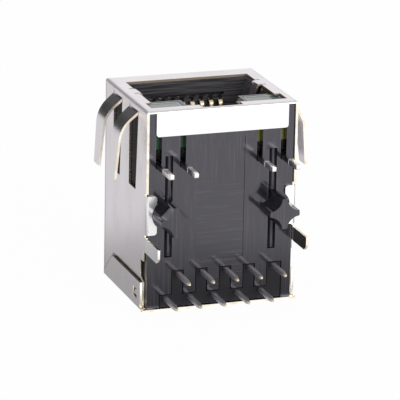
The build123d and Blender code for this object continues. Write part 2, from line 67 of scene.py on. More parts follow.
class Value:
    """A node's output that takes part in arithmetic; each operation adds one Math node."""

    def __init__(self, graph: "Graph", socket: bpy.types.NodeSocket) -> None:
        """Wrap one output socket of a graph."""
        self.graph = graph
        self.socket = socket

    def _math(self, operation: str, *others: "Value | float", first: bool = True) -> "Value":
        """Add one Math node.

        Args:
            operation: the Math node's operation.
            others: the other operands.
            first: whether this value is the first operand.

        Returns:
            The node's result.
        """
        operands = (self, *others) if first else (*others, self)
        inputs = dict(enumerate(operands))
        return self.graph.value("ShaderNodeMath", {"operation": operation}, inputs)

    def __add__(self, other: "Value | float") -> "Value":
        """Add, in either order."""
        return self._math("ADD", other)

    __radd__ = __add__

    def __sub__(self, other: "Value | float") -> "Value":
        """Subtract."""
        return self._math("SUBTRACT", other)

    def __rsub__(self, other: float) -> "Value":
        """Subtract from a number."""
        return self._math("SUBTRACT", other, first=False)

    def __mul__(self, other: "Value | float") -> "Value":
        """Multiply, in either order."""
        return self._math("MULTIPLY", other)

    __rmul__ = __mul__

    def __abs__(self) -> "Value":
        """Take the size without its sign."""
        return self._math("ABSOLUTE")

    def sine(self) -> "Value":
        """Take the sine, in radians."""
        return self._math("SINE")

    def between(self, low: float, high: float) -> "Value":
        """Rise smoothly from one limit to the other.

        Args:
            low: where the result is 0; it may be the larger one, for a fall.
            high: where the result is 1.

        Returns:
            The smooth step.
        """
        return self.graph.value(
            "ShaderNodeMapRange",
            {"interpolation_type": "SMOOTHSTEP"},
            {"Value": self, "From Min": low, "From Max": high, "To Min": 0.0, "To Max": 1.0},
        )

    def within(self, edge: Span, other_edge: Span) -> "Value":
        """Mark a band between two edges, each a span that runs inwards."""
        return self.between(*edge) * self.between(*other_edge)


Input = Value | bpy.types.NodeSocket | bpy.types.Material | float | int | bool | Sequence[float]


def opaque(given: Input) -> Input:
    """Add full alpha to a colour of three numbers; anything else stays as it is."""
    return (*given, 1.0) if isinstance(given, tuple) else given


class Graph:
    """A node tree that grows one node at a time."""

    def __init__(self, tree: bpy.types.NodeTree) -> None:
        """Start from a tree as it stands."""
        self.tree = tree

    def node(
        self,
        kind: str,
        settings: Mapping[str, object] | None = None,
        inputs: Mapping[str | int, Input] | None = None,
    ) -> bpy.types.Node:
        """Add any node.

        Args:
            kind: the node's type.
            settings: its own settings, set first.
            inputs: values or links of its sockets, by name, identifier or index.

        Returns:
            The new node.
        """
        made = self.tree.nodes.new(kind)
        for name, setting in (settings or {}).items():
            setattr(made, name, setting)
        for key, given in (inputs or {}).items():
            self.feed(self._input(made, key), given)
        return made

    def value(
        self,
        kind: str,
        settings: Mapping[str, object] | None = None,
        inputs: Mapping[str | int, Input] | None = None,
        output: str | int = 0,
    ) -> Value:
        """Add any node and wrap one of its outputs."""
        return Value(self, self.node(kind, settings, inputs).outputs[output])

    def feed(self, socket: bpy.types.NodeSocket, given: Input) -> None:
        """Link or set one input.

        Args:
            socket: the input.
            given: an output that is linked to it, or the value that it is set to.
        """
        if isinstance(given, Value):
            self.tree.links.new(given.socket, socket)
        elif isinstance(given, bpy.types.NodeSocket):
            self.tree.links.new(given, socket)
        else:
            socket.default_value = given

    @staticmethod
    def _input(made: bpy.types.Node, key: str | int) -> bpy.types.NodeSocket:
        """Find an input of a node.

        Args:
            made: the node.
            key: the input's index, identifier or name.

        Returns:
            The input.
        """
        if isinstance(key, int):
            return made.inputs[key]
        for socket in made.inputs:
            if socket.identifier == key:
                return socket
        return made.inputs[key]


class Shader(Graph):
    """The node tree of one material, with the patterns that the finishes share."""

    finer_layers: float = 0.55

    def __init__(self, name: str) -> None:
        """Make a material with one Principled shader.

        Args:
            name: the material's name.
        """
        self.material = bpy.data.materials.new(name)
        self.material.use_nodes = True
        super().__init__(self.material.node_tree)
        self.surface = self.tree.nodes["Principled BSDF"]
        self.place = self.node("ShaderNodeTexCoord").outputs["Object"]
        split = self.node("ShaderNodeSeparateXYZ", inputs={0: self.place})
        self.x, self.y, self.z = (Value(self, socket) for socket in split.outputs)

    def noise(self, scale: Point, detail: float = 3.0) -> Value:
        """Add a noise pattern.

        Args:
            scale: how many bumps it has in a metre along X, Y and Z.
            detail: how many finer layers it has.

        Returns:
            The pattern, about 0 to 1.
        """
        stretched = self.node("ShaderNodeMapping", inputs={"Vector": self.place, "Scale": scale})
        place = stretched.outputs[0]
        inputs = {"Vector": place, "Scale": 1.0, "Detail": detail, "Roughness": self.finer_layers}
        return self.value("ShaderNodeTexNoise", inputs=inputs)

    def mix(self, factor: Input, one: Input, two: Input) -> bpy.types.NodeSocket:
        """Mix two colours.

        Args:
            factor: how much of the second one shows, from 0 to 1.
            one: the first colour, a link or three numbers.
            two: the second colour, given in the same way.

        Returns:
            The mixed colour.
        """
        made = self.node(
            "ShaderNodeMix",
            {"data_type": "RGBA"},
            {"Factor_Float": factor, "A_Color": opaque(one), "B_Color": opaque(two)},
        )
        return next(socket for socket in made.outputs if socket.identifier == "Result_Color")

    def bump(self, height: Value, depth: float) -> bpy.types.NodeSocket:
        """Turn a height pattern of 0 to 1, as deep as that in metres, into a normal."""
        made = self.node("ShaderNodeBump", inputs={"Height": height, "Distance": depth})
        return made.outputs[0]

    def dress(self, inputs: Mapping[str, Input]) -> bpy.types.Material:
        """Set or link the Principled shader's inputs.

        Args:
            inputs: what each input gets, by its name.

        Returns:
            The material.
        """
        for name, given in inputs.items():
            self.feed(self.surface.inputs[name], opaque(given))
        return self.material

    def overlaid(self, share: Value, top: bpy.types.Node) -> bpy.types.Material:
        """Lay another shader over the surface.

        Args:
            share: how much of it shows, from 0 to 1.
            top: the other shader's node.

        Returns:
            The material.
        """
        mixed = self.node(
            "ShaderNodeMixShader",
            inputs={0: share, 1: self.surface.outputs[0], 2: top.outputs[0]},
        )
        self.feed(self.tree.nodes["Material Output"].inputs["Surface"], mixed.outputs[0])
        return self.material


@dataclass(frozen=True)
class WingEdgeShade:
    """Painted shade on the side walls along the slanting edge of each rear wing, where the gap to
    the wing falls dark.

    A point of the edge and its outward normal are given in the plane of Y and Z.
    """

    edge_y: float = 0.0060
    edge_z: float = 0.00042
    normal_y: float = 0.664
    normal_z: float = 0.748
    shade_span: Span = (0.00060, 0.00025)
    wall: Band = ((0.00790, 0.00793), (0.00803, 0.00800))
    low_span: Span = (0.0032, 0.0031)

    def mask(self, shader: Shader) -> Value:
        """Find the painted shade.

        Args:
            shader: the graph of the wall's material.

        Returns:
            1 in the painted shade and 0 elsewhere.
        """
        outward = (shader.y - self.edge_y) * self.normal_y
        away = outward + (shader.z - self.edge_z) * self.normal_z
        wall = abs(shader.x).within(*self.wall)
        return away.between(*self.shade_span) * wall * shader.z.between(*self.low_span)


@dataclass(frozen=True)
class TinnedSheet:
    """Satin tin plate: rolled grain, handling marks, dull tight folds, painted light and shade.
    """

    colour: Colour = (0.905, 0.86, 0.895)
    # painted light: a paler tin for the board-side faces
    bright: Colour = (0.94, 0.925, 0.94)
    dull: Colour = (0.84, 0.80, 0.83)
    # painted shade colour, for the tabs' inner faces and the walls beside the wings
    painted_shade: Colour = (0.24, 0.21, 0.18)
    wall_grain: Point = (4500.0, 4500.0, 200.0)
    front_grain: Point = (220.0, 4500.0, 4500.0)
    grain_depth: float = 0.0000009
    grain_dulls: float = 0.4
    cloud_scale: Point = (260.0, 260.0, 180.0)
    mark_span: Span = (0.42, 0.68)
    marks_dull: float = 0.5
    roughness: float = 0.19
    wear_roughens: float = 0.06
    folds_roughen: float = 0.3
    front_span: Span = (0.0204, 0.0206)
    board_side_span: Span = (-0.0065, -0.0067)
    tab_inside_span: Span = (0.00786, 0.00776)
    tab_foot_span: Span = (-0.0069, -0.0071)
    fold_side_span: Span = (0.0076, 0.0077)
    fold_front_span: Span = (0.02050, 0.02060)
    # painted shade along the wings' slanting edges
    wing_shade: WingEdgeShade = WingEdgeShade()

    def material(self) -> bpy.types.Material:
        """Build the finish; the grain runs upright on the walls and across on the front.

        Returns:
            The material, with painted light making the flap and the flanges brightest.
        """
        shader = Shader("tinned_sheet")
        front = shader.z.between(*self.front_span)
        upright = shader.noise(self.wall_grain)
        grain = upright * (1.0 - front) + shader.noise(self.front_grain) * front
        marks = shader.noise(self.cloud_scale, detail=5.0).between(*self.mark_span)
        dulling = marks * self.marks_dull + grain * self.grain_dulls
        tin = shader.mix(dulling, self.colour, self.dull)
        # painted light: the board-side faces, flap and flanges, get the paler tin
        undarkened = shader.mix(shader.y.between(*self.board_side_span), tin, self.bright)
        side = abs(shader.x)
        # painted shade on the inner faces of the tab feet
        inside = side.between(*self.tab_inside_span) * shader.y.between(*self.tab_foot_span)
        folds = side.between(*self.fold_side_span) * shader.z.between(*self.fold_front_span)
        wear = self.wear_roughens * (marks + grain)
        return shader.dress({
            # painted shade darkens the tabs' inner faces and the walls beside the wings
            "Base Color": shader.mix(inside + self.wing_shade.mask(shader), undarkened, self.painted_shade),
            "Metallic": 1.0,
            "Roughness": self.roughness + wear + self.folds_roughen * folds,
            "Normal": shader.bump(grain, self.grain_depth),
        })


@dataclass(frozen=True)
class ShearedEdge:
    """Bare copper alloy where the punch cut through the tin, half smeared with it."""

    bare: Colour = (0.84, 0.68, 0.45)
    smeared: Colour = (1.0, 0.965, 0.88)
    # darker tone of the sheared edges round the port
    port_dark: Colour = (0.30, 0.24, 0.17)
    streak_scale: Point = (5200.0, 5200.0, 5200.0)
    streak_depth: float = 0.0000008
    patch_scale: Point = (900.0, 900.0, 900.0)
    patch_span: Span = (0.35, 0.6)
    least_smear: float = 0.35
    roughness: float = 0.2
    streaks_roughen: float = 0.15
    port_darkening: float = 0.85
    port_roughens: float = 0.25
    front_span: Span = (0.02060, 0.02064)
    port_side_span: Span = (0.0074, 0.0073)

    def material(self) -> bpy.types.Material:
        """Build the finish.

        Returns:
            The material, darker and rougher round the port.
        """
        shader = Shader("sheared_edge")
        streaks = shader.noise(self.streak_scale, detail=4.0)
        patches = shader.noise(self.patch_scale).between(*self.patch_span)
        smear = self.least_smear + (1.0 - self.least_smear) * patches
        undarkened = shader.mix(smear, self.bare, self.smeared)
        # the edges round the port are darker and rougher
        port = shader.z.between(*self.front_span) * abs(shader.x).between(*self.port_side_span)
        uneven = self.streaks_roughen * streaks + self.port_roughens * port
        return shader.dress({
            "Base Color": shader.mix(self.port_darkening * port, undarkened, self.port_dark),
            "Metallic": 1.0,
            "Roughness": self.roughness + uneven,
            "Normal": shader.bump(streaks * (1.0 - port), self.streak_depth),
        })


@dataclass(frozen=True)
class HollowShade:
    """Painted shade: a near-black matt surface over the grooves' hollows and the hidden sides."""

    colour: Colour = (0.0030, 0.0028, 0.0035)
    roughness: float = 0.9
    gloss: float = 0.1
    share: float = 0.85
    hollow: Band = ((-0.00619, -0.00615), (-0.00600, -0.00605))
    left_groove: Band = ((-0.00592, -0.00590), (-0.00541, -0.00547))
    right_groove: Band = ((0.00508, 0.00510), (0.00559, 0.00553))
    side_span: Span = (0.0073, 0.0074)
    above_board_side: Span = (-0.0059, -0.0058)

    def laid_over(self, shader: Shader) -> bpy.types.Material:
        """Lay the painted shade, a matt near-black surface, over the moulding's own.

        Args:
            shader: the graph of the moulding's material.

        Returns:
            The material.
        """
        grooves = shader.x.within(*self.left_groove) + shader.x.within(*self.right_groove)
        side = abs(shader.x).between(*self.side_span) * shader.y.between(*self.above_board_side)
        # painted shade: near-black in the groove hollows and on the sides under the shield
        share = self.share * (shader.y.within(*self.hollow) * grooves + side)
        look = {
            "Base Color": opaque(self.colour),
            "Roughness": self.roughness,
            "Specular IOR Level": self.gloss,
        }
        return shader.overlaid(share, shader.node("ShaderNodeBsdfPrincipled", inputs=look))


@dataclass(frozen=True)
class DarkMoulding:
    """Glossy dark plastic with draw marks from the mould, and painted shade in its hollows."""

    colour: Colour = (0.0036, 0.0033, 0.0048)
    worn: Colour = (0.034, 0.033, 0.038)
    # painted light on the port's roof here; on the gold contacts the same name is real rubbing
    rubbed_and_lit: Colour = (0.115, 0.110, 0.121)
    sheen: Colour = (0.92, 0.89, 1.0)
    roughness: float = 0.11
    scratches_roughen: float = 0.10
    refraction: float = 1.55
    upright_marks: Point = (7500.0, 7500.0, 200.0)
    lying_marks: Point = (190.0, 7000.0, 7000.0)
    mark_depth: float = 0.0000009
    scratch_span: Span = (0.48, 0.70)
    roof_streak_span: Span = (0.35, 0.65)
    least_roof_light: float = 0.3
    panel_side_span: Span = (0.0026, 0.0024)
    panel_height_span: Span = (0.0150, 0.0115)
    roof_span: Span = (0.0020, 0.0030)
    hollow_shade: HollowShade = HollowShade()

    def material(self) -> bpy.types.Material:
        """Build the finish; the marks run upright, but across on the panel and in the port.

        Returns:
            The material, with painted light and painted reflection streaks under the port's roof.
        """
        shader = Shader("dark_moulding")
        upright = shader.noise(self.upright_marks, detail=4.0)
        across = shader.noise(self.lying_marks, detail=4.0)
        sides = abs(shader.x).between(*self.panel_side_span)
        roof = shader.y.between(*self.roof_span)
        lying = sides * shader.z.between(*self.panel_height_span) + roof
        marks = upright * (1.0 - lying) + across * lying
        scratches = marks.between(*self.scratch_span)
        # painted light: paler streaks on the port's roof stand in for reflections
        roof_streaks = (1.0 - self.least_roof_light) * across.between(*self.roof_streak_span)
        roof_light_share = roof * (self.least_roof_light + roof_streaks)
        skin = shader.mix(scratches, self.colour, self.worn)
        shader.dress({
            "Base Color": shader.mix(roof_light_share, skin, self.rubbed_and_lit),
            "Roughness": self.roughness + self.scratches_roughen * scratches,
            "IOR": self.refraction,
            "Specular IOR Level": 1.0,
            "Specular Tint": self.sheen,
            "Normal": shader.bump(marks, self.mark_depth),
        })
        return self.hollow_shade.laid_over(shader)


@dataclass(frozen=True)
class InnerMoulding:
    """Matt dark plastic of the inner blocks."""

    colour: Colour = (0.0075, 0.007, 0.0095)
    paler: float = 1.5
    roughness: float = 0.4
    skin_roughens: float = 0.1
    gloss: float = 0.35
    skin_scale: Point = (4200.0, 4200.0, 4200.0)
    skin_depth: float = 0.000003

    def material(self) -> bpy.types.Material:
        """Build the finish.

        Returns:
            The material.
        """
        shader = Shader("inner_moulding")
        skin = shader.noise(self.skin_scale)
        pale = tuple(self.paler * share for share in self.colour)
        return shader.dress({
            "Base Color": shader.mix(skin, self.colour, pale),
            "Roughness": self.roughness + self.skin_roughens * skin,
            "Specular IOR Level": self.gloss,
            "Normal": shader.bump(skin, self.skin_depth),
        })


@dataclass(frozen=True)
class LampResin:
    """Milky cast resin whose rear end is tinted in the lamp's own colour."""

    name: str
    tint: Colour
    pale: Colour = (0.72, 0.755, 0.745)
    lens: Colour = (0.19, 0.22, 0.205)
    haze_scale: Point = (900.0, 900.0, 900.0)
    haze: float = 0.25
    roughness: float = 0.14
    haze_roughens: float = 0.1
    coat: float = 0.2
    depth_share: float = 0.25
    depth: float = 0.0008
    rim_span: Span = (0.02055, 0.02059)
    clear_span: Span = (0.0188, 0.0197)

    def material(self) -> bpy.types.Material:
        """Build the finish.

        Returns:
            The material: a pale rim, a greyer sunk lens and the tint behind them.
        """
        shader = Shader(f"lamp_resin_{self.name}")
        haze = shader.noise(self.haze_scale)
        clear = shader.mix(shader.z.between(*self.rim_span), self.lens, self.pale)
        colour = shader.mix(shader.z.between(*self.clear_span), self.tint, clear)
        return shader.dress({
            "Base Color": shader.mix(haze * self.haze, colour, self.lens),
            "Roughness": self.roughness + self.haze_roughens * haze,
            "Coat Weight": self.coat,
            "Subsurface Weight": self.depth_share,
            "Subsurface Scale": self.depth,
        })


@dataclass(frozen=True)
class TinnedPin:
    """Tinned square wire, darkened at the root by painted shade and bright where its tip was
    cropped.

    Its two spans lie on Y, and its next tone comes in over each.
    """

    name: str
    root: Colour
    shaft: Colour
    tip: Colour
    shaft_span: Span
    tip_span: Span
    roughness: float
    drawing_roughens: float = 0.14
    drawn_scale: Point = (4500.0, 300.0, 4500.0)
    drawn_depth: float = 0.0000025

    def material(self) -> bpy.types.Material:
        """Build the finish.

        Returns:
            The material.
        """
        shader = Shader(self.name)
        drawn = shader.noise(self.drawn_scale)
        body = shader.mix(shader.y.between(*self.shaft_span), self.root, self.shaft)
        return shader.dress({
            "Base Color": shader.mix(shader.y.between(*self.tip_span), body, self.tip),
            "Metallic": 1.0,
            "Roughness": self.roughness + self.drawing_roughens * drawn,
            "Normal": shader.bump(drawn, self.drawn_depth),
        })


@dataclass(frozen=True)
class GoldContact:
    """Gold plate over nickel, a little paler where it is rubbed."""

    colour: Colour = (1.0, 0.80, 0.48)
    rubbed_and_lit: Colour = (1.0, 0.93, 0.76)
    rub_scale: Point = (5000.0, 5000.0, 600.0)
    rub_span: Span = (0.4, 0.65)
    roughness: float = 0.2
    rubs_roughen: float = 0.12

    def material(self) -> bpy.types.Material:
        """Build the finish.

        Returns:
            The material.
        """
        shader = Shader("gold_contact")
        rubs = shader.noise(self.rub_scale)
        return shader.dress({
            "Base Color": shader.mix(rubs.between(*self.rub_span), self.colour, self.rubbed_and_lit),
            "Metallic": 1.0,
            "Roughness": self.roughness + self.rubs_roughen * rubs,
        })


@dataclass(frozen=True)
class SolderMask:
    """Green lacquer over a woven board."""

    colour: Colour = (0.03, 0.17, 0.08)
    raised: Colour = (0.05, 0.25, 0.12)
    raised_share: float = 0.5
    roughness: float = 0.28
    weave_pitch: float = 0.0004
    weave_depth: float = 0.000004

    def material(self) -> bpy.types.Material:
        """Build the finish.

        Returns:
            The material.
        """
        shader = Shader("solder_mask")
        turns = 2.0 * math.pi / self.weave_pitch
        weave = (shader.x * turns).sine() * (shader.y * turns).sine() * 0.5 + 0.5
        return shader.dress({
            "Base Color": shader.mix(weave * self.raised_share, self.colour, self.raised),
            "Roughness": self.roughness,
            "Normal": shader.bump(weave, self.weave_depth),
        })


@dataclass(frozen=True)
class Speckled:
    """A dull body speckled with a second colour, as on ferrite, chips and enamelled wire."""

    name: str
    colour: Colour
    speck: Colour
    metallic: float
    roughness: float
    speck_size: float = 0.0002
    speck_span: Span = (0.45, 0.7)
    speck_depth: float = 0.000004
    specks_roughen: float = 0.1

    def material(self) -> bpy.types.Material:
        """Build the finish.

        Returns:
            The material.
        """
        shader = Shader(self.name)
        per_metre = 1.0 / self.speck_size
        specks = shader.noise((per_metre, per_metre, per_metre), detail=2.0)
        return shader.dress({
            "Base Color": shader.mix(specks.between(*self.speck_span), self.colour, self.speck),
            "Metallic": self.metallic,
            "Roughness": self.roughness + self.specks_roughen * specks,
            "Normal": shader.bump(specks, self.speck_depth),
        })


class Slot(Enum):
    """The record's material slots for the scene's own pieces; this script does not use them."""

    SHEET = "tinned_sheet"
    HOUSING = "dark_moulding"
    LAMP = "lamp"
    PIN = "tinned_pin"
    CONTACT = "gold_contact"


def mounted(piece: bpy.types.Object, replaced: Sequence[str]) -> bpy.types.Object:
    """Let a finished piece ride on the body in place of its CAD nodes.

    Args:
        piece: the finished piece.
        replaced: the nodes that it stands for.

    Returns:
        The piece.
    """
    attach(piece, BODY)
    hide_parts(*replaced)
    faces = len(piece.data.polygons)
    log.info("%s: %d faces, stands for %s", piece.name, faces, ", ".join(replaced))
    return piece


def piece_from(bm: bmesh.types.BMesh, name: str) -> bpy.types.Object:
    """Turn a bmesh into a linked object with no transform.

    Args:
        bm: the bmesh, which is freed.
        name: the object's name.

    Returns:
        The object.
    """
    mesh = bpy.data.meshes.new(name)
    bm.to_mesh(mesh)
    bm.free()
    piece = bpy.data.objects.new(name, mesh)
    bpy.context.scene.collection.objects.link(piece)
    return piece


def softened(piece: bpy.types.Object, width: float, smooth_below: float = 40.0) -> None:
    """Round a piece's edges and shade its bends smoothly, with flat faces kept flat.

    Args:
        piece: the piece.
        width: how wide the rounding is.
        smooth_below: edges that turn less than this many degrees are shaded smoothly.
    """
    for polygon in piece.data.polygons:
        polygon.use_smooth = True
    bevel = piece.modifiers.new("edges", "BEVEL")
    bevel.width = width
    bevel.segments = 2
    bevel.limit_method = "ANGLE"
    bevel.angle_limit = math.radians(smooth_below)
    flat = piece.modifiers.new("flat faces", "WEIGHTED_NORMAL")
    flat.mode = "FACE_AREA"
    flat.weight = 100
    graph = bpy.context.evaluated_depsgraph_get()
    mesh = bpy.data.meshes.new_from_object(piece.evaluated_get(graph))
    piece.modifiers.clear()
    piece.data = mesh
    mesh.name = piece.name


def merged_copy(node: str, weld: float = 1e-6, flat_below: float = 0.5) -> bmesh.types.BMesh:
    """Copy a CAD node's loose triangles into one closed mesh with its flat faces joined.

    Args:
        node: the node's name.
        weld: corners closer than this become one.
        flat_below: faces that turn less than this many degrees are joined.

    Returns:
        The mesh.
    """
    bm = bmesh.new()
    bm.from_mesh(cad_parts[node].data)
    bmesh.ops.remove_doubles(bm, verts=bm.verts, dist=weld)
    turn = math.radians(flat_below)
    bmesh.ops.dissolve_limit(bm, angle_limit=turn, verts=bm.verts, edges=bm.edges)
    bmesh.ops.recalc_face_normals(bm, faces=bm.faces)
    return bm


@dataclass
class Shield:
    """The folded sheet, with the bare metal showing on its sheared edges.

    Its fields broad_within and start_below count in thicknesses of the sheet.
    """

    sheet: float = 0.00025
    broad_within: float = 1.6
    start_below: float = 0.02
    edge_width: float = 0.000025
    finishes: tuple[TinnedSheet, ShearedEdge] = (TinnedSheet(), ShearedEdge())

    def build(self) -> bpy.types.Object:
        """Copy the folded sheet, tell sheared edges from broad faces and dress both.

        Returns:
            The shield.
        """
        bm = merged_copy("shield")
        self._mark_edges(bm)
        piece = piece_from(bm, "tinned_shield")
        for finish in self.finishes:
            piece.data.materials.append(finish.material())
        softened(piece, self.edge_width)
        return mounted(piece, ["shield"])

    def _mark_edges(self, bm: bmesh.types.BMesh) -> None:
        """Give sheared faces the second material.

        A broad face has the other side of the sheet one thickness behind it. A sheared one
        looks along the sheet instead, so that what is behind it is much further away.

        Args:
            bm: the sheet's mesh.
        """
        tree = BVHTree.FromBMesh(bm)
        broad = dict.fromkeys(bm.faces, 0.0)
        for corners in bm.calc_loop_triangles():
            face = corners[0].face
            places = [corner.vert.co for corner in corners]
            area = area_tri(*places)
            behind = self._behind(tree, sum(places, Vector()) / 3, face.normal)
            broad[face] += area if behind < self.broad_within * self.sheet else -area
        for face, balance in broad.items():
            face.material_index = 0 if balance >= 0.0 else 1

    def _behind(self, tree: BVHTree, point: Vector, normal: Vector) -> float:
        """Measure how far the far side of the metal is behind a point of its surface.

        Args:
            tree: the sheet's faces.
            point: a place on one face.
            normal: that face's outward direction.

        Returns:
            The distance, or 1 where nothing is behind it.
        """
        step = self.sheet * self.start_below
        hit = tree.ray_cast(point - normal * step, -normal)
        return hit[3] + step if hit[0] is not None else 1.0


@dataclass
class Housing:
    """The dark moulding with its small moulded radii."""

    edge_width: float = 0.00004

    def build(self) -> bpy.types.Object:
        """Copy the moulding and dress it.

        Returns:
            The housing.
        """
        piece = piece_from(merged_copy("housing"), "dark_housing")
        piece.data.materials.append(DarkMoulding().material())
        softened(piece, self.edge_width)
        return mounted(piece, ["housing"])


class Side(Enum):
    """The two sides of the port."""

    LEFT = "left"
    RIGHT = "right"


@dataclass
class Lamp:
    """One lamp: a resin block with a sunk lens in its front."""

    side: Side
    tint: Colour
    rim: float = 0.00028
    sunk: float = 0.0001
    edge_width: float = 0.00006

    def build(self) -> bpy.types.Object:
        """Build the block inside its node's box and dress it.

        Returns:
            The lamp.
        """
        node = f"lamp_{self.side.value}"
        low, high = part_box(node)
        bm = bmesh.new()
        bmesh.ops.create_cube(bm, size=1.0)
        bmesh.ops.scale(bm, vec=high - low, verts=bm.verts)
        bmesh.ops.translate(bm, vec=(low + high) / 2, verts=bm.verts)
        front = max(bm.faces, key=lambda face: face.calc_center_median().z)
        bmesh.ops.inset_region(bm, faces=[front], thickness=self.rim, depth=-self.sunk)
        piece = piece_from(bm, f"resin_{node}")
        piece.data.materials.append(LampResin(self.side.value, self.tint).material())
        softened(piece, self.edge_width)
        return mounted(piece, [node])


@dataclass
class WireRows:
    """Rows of one bent wire of rectangular section, repeated at a pitch by Geometry Nodes.

    Each corner of its centreline comes with the section's share of the full size there.
    """

    name: str
    corners: tuple[tuple[Point, float], ...]
    width: float
    height: float
    bend: float
    count: int
    pitch: Point
    material: bpy.types.Material
    edge_radius: float = 0.00003
    rows: int = 1
    row_pitch: Point = (0.0, 0.0, 0.0)
    edge_segments: int = 2
    bend_segments: int = 8
    weld: float = 1e-7
    smooth_below: float = 35.0
    _sockets: dict[str, str] = field(default_factory=dict, init=False)

    def build(self) -> bpy.types.Object:
        """Sweep the wire, repeat it and turn the result into a plain mesh.

        Returns:
            The wires as one piece.
        """
        source = self._centreline()
        modifier = source.modifiers.new("rows", "NODES")
        modifier.node_group = self._tree()
        for name, (_, given) in self._inputs().items():
            modifier[self._sockets[name]] = given
        graph = bpy.context.evaluated_depsgraph_get()
        mesh = bpy.data.meshes.new_from_object(source.evaluated_get(graph))
        source.modifiers.clear()
        bpy.data.objects.remove(source)
        bm = bmesh.new()
        bm.from_mesh(mesh)
        bmesh.ops.remove_doubles(bm, verts=bm.verts, dist=self.weld)
        bmesh.ops.recalc_face_normals(bm, faces=bm.faces)
        for face in bm.faces:
            face.smooth = True
        piece = piece_from(bm, self.name)
        piece.data.materials.append(self.material)
        piece.data.set_sharp_from_angle(angle=math.radians(self.smooth_below))
        return piece

    def _centreline(self) -> bpy.types.Object:
        """Make a curve whose points carry the size of the section.

        Returns:
            The linked curve object.
        """
        data = bpy.data.curves.new(f"{self.name}_path", "CURVE")
        data.dimensions = "3D"
        spline = data.splines.new("POLY")
        spline.points.add(len(self.corners) - 1)
        for point, (corner, share) in zip(spline.points, self.corners):
            point.co = (*corner, 1.0)
            point.radius = share
        curve = bpy.data.objects.new(data.name, data)
        bpy.context.scene.collection.objects.link(curve)
        return curve

    def _inputs(self) -> dict[str, tuple[str, object]]:
        """List the tree's inputs beside the curve.

        Returns:
            Each one's kind and what it is given, by its name.
        """
        return {
            "Width": ("NodeSocketFloat", self.width),
            "Height": ("NodeSocketFloat", self.height),
            "Edge Radius": ("NodeSocketFloat", self.edge_radius),
            "Bend Radius": ("NodeSocketFloat", self.bend),
            "Count": ("NodeSocketInt", self.count),
            "Pitch": ("NodeSocketVector", self.pitch),
            "Rows": ("NodeSocketInt", self.rows),
            "Row Pitch": ("NodeSocketVector", self.row_pitch),
            "Material": ("NodeSocketMaterial", self.material),
        }

    def _tree(self) -> bpy.types.GeometryNodeTree:
        """Build the tree: sweep a rounded rectangle along the curve and repeat it twice.

        Returns:
            The tree, whose inputs are then known by name in _sockets.
        """
        tree = bpy.data.node_groups.new(self.name, "GeometryNodeTree")
        face = tree.interface
        face.new_socket("Curve", in_out="INPUT", socket_type="NodeSocketGeometry")
        for name, (kind, _) in self._inputs().items():
            socket = face.new_socket(name, in_out="INPUT", socket_type=kind)
            self._sockets[name] = socket.identifier
        face.new_socket("Mesh", in_out="OUTPUT", socket_type="NodeSocketGeometry")
        graph = Graph(tree)
        given = graph.node("NodeGroupInput").outputs
        section = graph.node(
            "GeometryNodeCurvePrimitiveQuadrilateral",
            inputs={"Width": given["Width"], "Height": given["Height"]},
        )
        rounded, bent = (
            graph.node(
                "GeometryNodeFilletCurve",
                {"mode": "POLY"},
                {"Curve": curve, "Count": count, "Radius": given[radius], "Limit Radius": True},
            ).outputs[0]
            for curve, count, radius in (
                (section.outputs[0], self.edge_segments, "Edge Radius"),
                (given["Curve"], self.bend_segments, "Bend Radius"),
            )
        )
        swept = graph.node(
            "GeometryNodeCurveToMesh",
            inputs={
                "Curve": bent,
                "Profile Curve": rounded,
                "Scale": graph.node("GeometryNodeInputRadius").outputs[0],
                "Fill Caps": True,
            },
        )
        one_row = self._repeated(graph, swept.outputs[0], given["Count"], given["Pitch"])
        all_rows = self._repeated(graph, one_row, given["Rows"], given["Row Pitch"])
        real = graph.node("GeometryNodeRealizeInstances", inputs={"Geometry": all_rows})
        dressed = graph.node(
            "GeometryNodeSetMaterial",
            inputs={"Geometry": real.outputs[0], "Material": given["Material"]},
        )
        graph.node("NodeGroupOutput", inputs={0: dressed.outputs[0]})
        return tree

    @staticmethod
    def _repeated(
        graph: Graph,
        shape: bpy.types.NodeSocket,
        count: bpy.types.NodeSocket,
        pitch: bpy.types.NodeSocket,
    ) -> bpy.types.NodeSocket:
        """Put a shape at each point of a line that starts at the origin.

        Args:
            graph: the tree.
            shape: what is repeated.
            count: how often it stands there.
            pitch: the step from one to the next.

        Returns:
            The instances.
        """
        line = graph.node(
            "GeometryNodeMeshLine",
            {"mode": "OFFSET"},
            {"Count": count, "Start Location": (0.0, 0.0, 0.0), "Offset": pitch},
        )
        placed = graph.node(
            "GeometryNodeInstanceOnPoints",
            inputs={"Points": line.outputs[0], "Instance": shape},
        )
        return placed.outputs[0]


